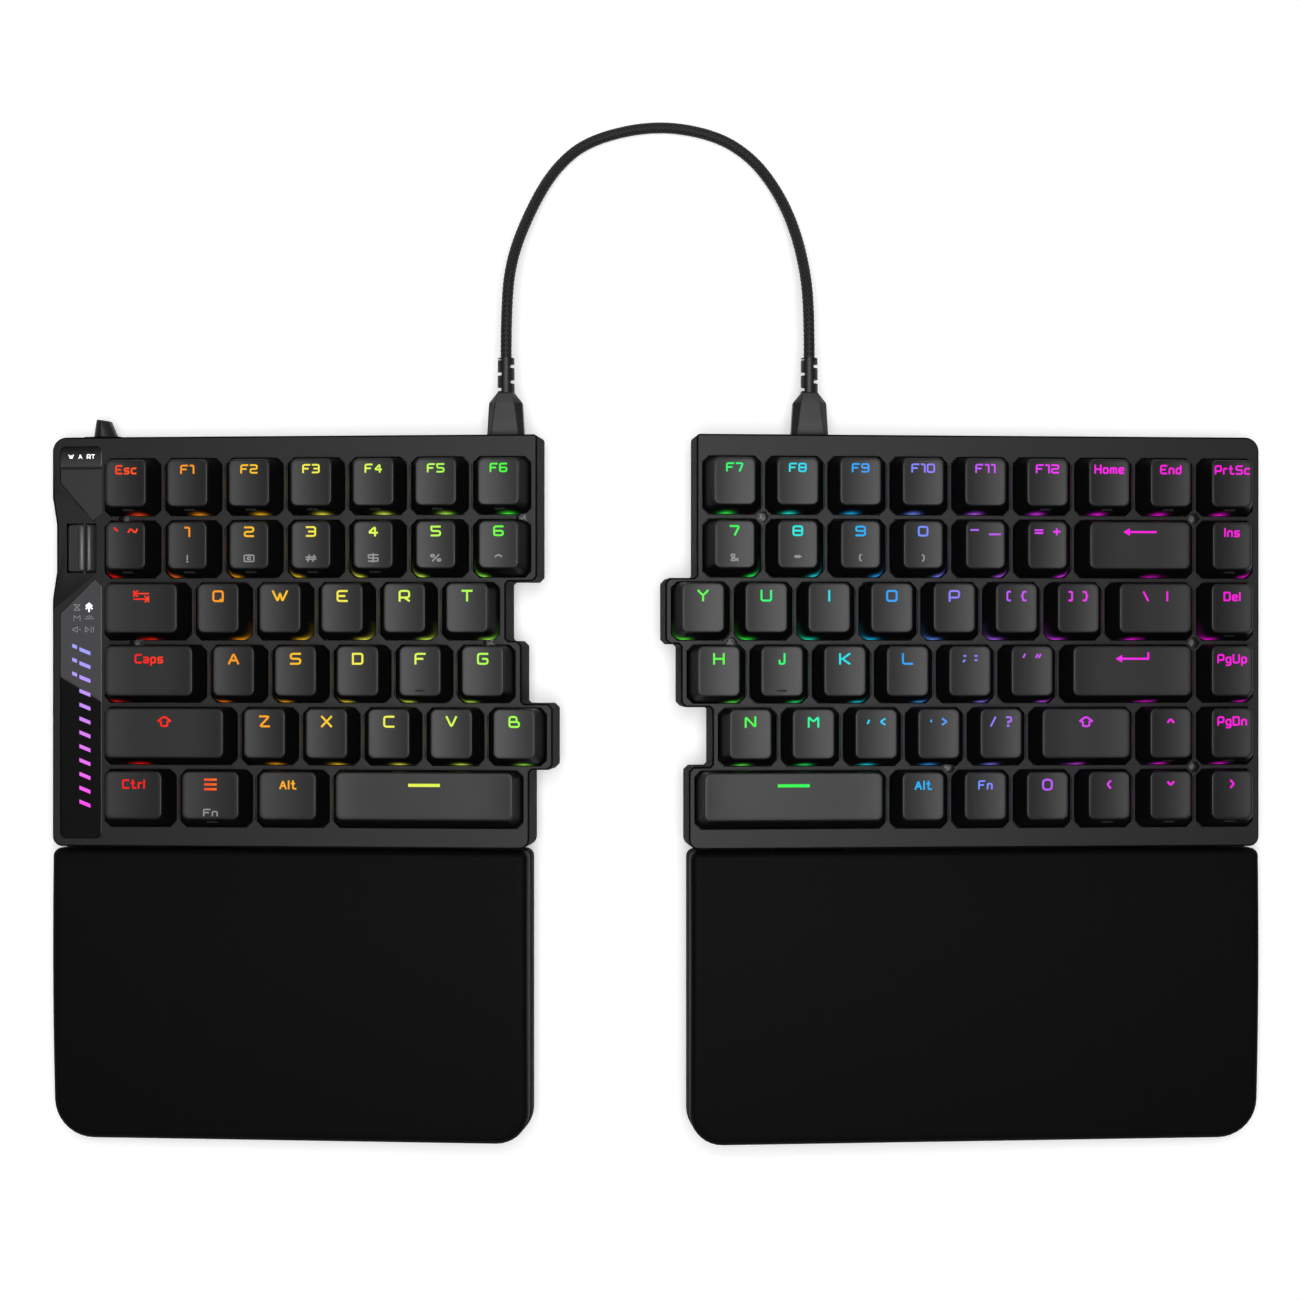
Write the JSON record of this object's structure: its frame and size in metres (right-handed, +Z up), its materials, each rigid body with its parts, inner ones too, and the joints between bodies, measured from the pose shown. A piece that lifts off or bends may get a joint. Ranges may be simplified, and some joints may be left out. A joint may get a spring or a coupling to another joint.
{
  "type": "split keyboard",
  "caption": "Ergonomic split keyboard in two tented halves, with a braided link cable, fold-out legs and pull-off palm rests",
  "frame": {"origin": "on the desk, below the middle of the box of the two halves and their palm rests", "axes": "+X along the key rows to the right, +Y away from the typist, +Z up"},
  "size_m": [0.3725, 0.3154, 0.0438],
  "materials": {
    "cap": "fine matt, dark grey key plastic",
    "frame": "matt graphite, moulded",
    "case": "matt black, moulded",
    "plate": "black coated steel sheet",
    "foam": "black closed foam",
    "board": "black solder mask",
    "switch": "dark nylon housing",
    "screw": "nickel plated",
    "port": "drawn steel shell",
    "plug": "satin black moulding",
    "relief": "soft black moulding",
    "cable": "black braided sleeve",
    "silicone": "soft touch, near black",
    "foot": "matt black rubber",
    "window": "gloss smoked window",
    "light": "gloss smoked light panel",
    "badge": "flat black plate",
    "wheel": "ribbed grey roller",
    "battery": "silver pouch cell"
  },
  "bodies": {
    "keyboard": {"left_top_frame": "frame", "left_bottom_case": "case", "left_switch_plate": "plate", "left_plate_foam": "foam", "left_circuit_board": "board", "left_switches": "switch", "left_case_screws": "screw", "left_plug": "plug", "left_strain_relief": "relief", "left_rubber_feet": "foot", "right_top_frame": "frame", "right_bottom_case": "case", "right_switch_plate": "plate", "right_plate_foam": "foam", "right_circuit_board": "board", "right_switches": "switch", "right_case_screws": "screw", "right_plug": "plug", "right_strain_relief": "relief", "right_rubber_feet": "foot", "usb_ports": "port", "indicator_window": "window", "badge_plate": "badge", "light_strip": "light", "battery": "battery", "link_cable": "cable"},
    "left_function_keys_body": {"left_function_keys": "cap"},
    "left_number_keys_body": {"left_number_keys": "cap"},
    "tab_key_body": {"tab_key": "cap"},
    "left_upper_letter_keys_body": {"left_upper_letter_keys": "cap"},
    "caps_lock_key_body": {"caps_lock_key": "cap"},
    "left_home_row_keys_body": {"left_home_row_keys": "cap"},
    "left_shift_key_body": {"left_shift_key": "cap"},
    "left_lower_letter_keys_body": {"left_lower_letter_keys": "cap"},
    "left_modifier_keys_body": {"left_modifier_keys": "cap"},
    "left_space_key_body": {"left_space_key": "cap"},
    "left_tenting_leg_body": {"left_tenting_leg": "case"},
    "left_palm_leg_body": {"left_palm_leg": "case"},
    "left_palm_rest": {"left_palm_base": "case", "left_palm_pad": "silicone", "left_palm_feet": "foot"},
    "right_function_keys_body": {"right_function_keys": "cap"},
    "right_number_keys_body": {"right_number_keys": "cap"},
    "backspace_key_body": {"backspace_key": "cap"},
    "right_upper_letter_keys_body": {"right_upper_letter_keys": "cap"},
    "backslash_key_body": {"backslash_key": "cap"},
    "right_home_row_keys_body": {"right_home_row_keys": "cap"},
    "enter_key_body": {"enter_key": "cap"},
    "right_lower_letter_keys_body": {"right_lower_letter_keys": "cap"},
    "right_shift_key_body": {"right_shift_key": "cap"},
    "right_space_key_body": {"right_space_key": "cap"},
    "right_modifier_keys_body": {"right_modifier_keys": "cap"},
    "right_tenting_leg_body": {"right_tenting_leg": "case"},
    "right_palm_leg_body": {"right_palm_leg": "case"},
    "right_palm_rest": {"right_palm_base": "case", "right_palm_pad": "silicone", "right_palm_feet": "foot"},
    "wheel_body": {"control_wheel": "wheel"},
    "lever_body": {"mode_lever": "case"},
    "slider_body": {"connection_slider": "case"}
  },
  "joints": [
    {"name": "left_function_keys_press", "type": "slide", "parent": "keyboard", "child": "left_function_keys_body", "axis": [0.0872, 0, -0.9962], "range_m": [0, 0.0035], "stiffness_N_per_m": 840, "springref_m": -0.002},
    {"name": "left_number_keys_press", "type": "slide", "parent": "keyboard", "child": "left_number_keys_body", "axis": [0.0872, 0, -0.9962], "range_m": [0, 0.0035], "stiffness_N_per_m": 840, "springref_m": -0.002},
    {"name": "tab_key_press", "type": "slide", "parent": "keyboard", "child": "tab_key_body", "axis": [0.0872, 0, -0.9962], "range_m": [0, 0.0035], "stiffness_N_per_m": 120, "springref_m": -0.002},
    {"name": "left_upper_letter_keys_press", "type": "slide", "parent": "keyboard", "child": "left_upper_letter_keys_body", "axis": [0.0872, 0, -0.9962], "range_m": [0, 0.0035], "stiffness_N_per_m": 600, "springref_m": -0.002},
    {"name": "caps_lock_key_press", "type": "slide", "parent": "keyboard", "child": "caps_lock_key_body", "axis": [0.0872, 0, -0.9962], "range_m": [0, 0.0035], "stiffness_N_per_m": 120, "springref_m": -0.002},
    {"name": "left_home_row_keys_press", "type": "slide", "parent": "keyboard", "child": "left_home_row_keys_body", "axis": [0.0872, 0, -0.9962], "range_m": [0, 0.0035], "stiffness_N_per_m": 600, "springref_m": -0.002},
    {"name": "left_shift_key_press", "type": "slide", "parent": "keyboard", "child": "left_shift_key_body", "axis": [0.0872, 0, -0.9962], "range_m": [0, 0.0035], "stiffness_N_per_m": 120, "springref_m": -0.002},
    {"name": "left_lower_letter_keys_press", "type": "slide", "parent": "keyboard", "child": "left_lower_letter_keys_body", "axis": [0.0872, 0, -0.9962], "range_m": [0, 0.0035], "stiffness_N_per_m": 600, "springref_m": -0.002},
    {"name": "left_modifier_keys_press", "type": "slide", "parent": "keyboard", "child": "left_modifier_keys_body", "axis": [0.0872, 0, -0.9962], "range_m": [0, 0.0035], "stiffness_N_per_m": 360, "springref_m": -0.002},
    {"name": "left_space_key_press", "type": "slide", "parent": "keyboard", "child": "left_space_key_body", "axis": [0.0872, 0, -0.9962], "range_m": [0, 0.0035], "stiffness_N_per_m": 120, "springref_m": -0.002},
    {"name": "left_tenting_leg_fold", "type": "hinge", "parent": "keyboard", "child": "left_tenting_leg_body", "pos_m": [-0.05092, 0.04195, 0.01496], "axis": [0, 1, 0], "range_deg": [0, 88]},
    {"name": "left_palm_leg_fold", "type": "hinge", "parent": "left_palm_rest", "child": "left_palm_leg_body", "pos_m": [-0.05092, -0.06555, 0.01496], "axis": [0, 1, 0], "range_deg": [0, 88]},
    {"name": "left_palm_rest_pull", "type": "slide", "parent": "keyboard", "child": "left_palm_rest", "axis": [0, -1, 0], "range_m": [0, 0.03]},
    {"name": "right_function_keys_press", "type": "slide", "parent": "keyboard", "child": "right_function_keys_body", "axis": [-0.0872, 0, -0.9962], "range_m": [0, 0.0035], "stiffness_N_per_m": 1080, "springref_m": -0.002},
    {"name": "right_number_keys_press", "type": "slide", "parent": "keyboard", "child": "right_number_keys_body", "axis": [-0.0872, 0, -0.9962], "range_m": [0, 0.0035], "stiffness_N_per_m": 840, "springref_m": -0.002},
    {"name": "backspace_key_press", "type": "slide", "parent": "keyboard", "child": "backspace_key_body", "axis": [-0.0872, 0, -0.9962], "range_m": [0, 0.0035], "stiffness_N_per_m": 120, "springref_m": -0.002},
    {"name": "right_upper_letter_keys_press", "type": "slide", "parent": "keyboard", "child": "right_upper_letter_keys_body", "axis": [-0.0872, 0, -0.9962], "range_m": [0, 0.0035], "stiffness_N_per_m": 960, "springref_m": -0.002},
    {"name": "backslash_key_press", "type": "slide", "parent": "keyboard", "child": "backslash_key_body", "axis": [-0.0872, 0, -0.9962], "range_m": [0, 0.0035], "stiffness_N_per_m": 120, "springref_m": -0.002},
    {"name": "right_home_row_keys_press", "type": "slide", "parent": "keyboard", "child": "right_home_row_keys_body", "axis": [-0.0872, 0, -0.9962], "range_m": [0, 0.0035], "stiffness_N_per_m": 840, "springref_m": -0.002},
    {"name": "enter_key_press", "type": "slide", "parent": "keyboard", "child": "enter_key_body", "axis": [-0.0872, 0, -0.9962], "range_m": [0, 0.0035], "stiffness_N_per_m": 120, "springref_m": -0.002},
    {"name": "right_lower_letter_keys_press", "type": "slide", "parent": "keyboard", "child": "right_lower_letter_keys_body", "axis": [-0.0872, 0, -0.9962], "range_m": [0, 0.0035], "stiffness_N_per_m": 840, "springref_m": -0.002},
    {"name": "right_shift_key_press", "type": "slide", "parent": "keyboard", "child": "right_shift_key_body", "axis": [-0.0872, 0, -0.9962], "range_m": [0, 0.0035], "stiffness_N_per_m": 120, "springref_m": -0.002},
    {"name": "right_space_key_press", "type": "slide", "parent": "keyboard", "child": "right_space_key_body", "axis": [-0.0872, 0, -0.9962], "range_m": [0, 0.0035], "stiffness_N_per_m": 120, "springref_m": -0.002},
    {"name": "right_modifier_keys_press", "type": "slide", "parent": "keyboard", "child": "right_modifier_keys_body", "axis": [-0.0872, 0, -0.9962], "range_m": [0, 0.0035], "stiffness_N_per_m": 720, "springref_m": -0.002},
    {"name": "right_tenting_leg_fold", "type": "hinge", "parent": "keyboard", "child": "right_tenting_leg_body", "pos_m": [0.02727, 0.04195, 0.01702], "axis": [0, -1, 0], "range_deg": [0, 88]},
    {"name": "right_palm_leg_fold", "type": "hinge", "parent": "right_palm_rest", "child": "right_palm_leg_body", "pos_m": [0.02727, -0.06555, 0.01702], "axis": [0, -1, 0], "range_deg": [0, 88]},
    {"name": "right_palm_rest_pull", "type": "slide", "parent": "keyboard", "child": "right_palm_rest", "axis": [0, -1, 0], "range_m": [0, 0.03]},
    {"name": "control_wheel_turn", "type": "hinge", "parent": "keyboard", "child": "wheel_body", "pos_m": [-0.17635, 0.07135, 0.01734], "axis": [0, 1, 0], "continuous": true},
    {"name": "mode_lever_slide", "type": "slide", "parent": "keyboard", "child": "lever_body", "axis": [0.9962, 0, 0.0872], "range_m": [-0.0019, 0.0019]},
    {"name": "connection_slider_slide", "type": "slide", "parent": "keyboard", "child": "slider_body", "axis": [0.9962, 0, 0.0872], "range_m": [-0.001, 0.001]}
  ]
}
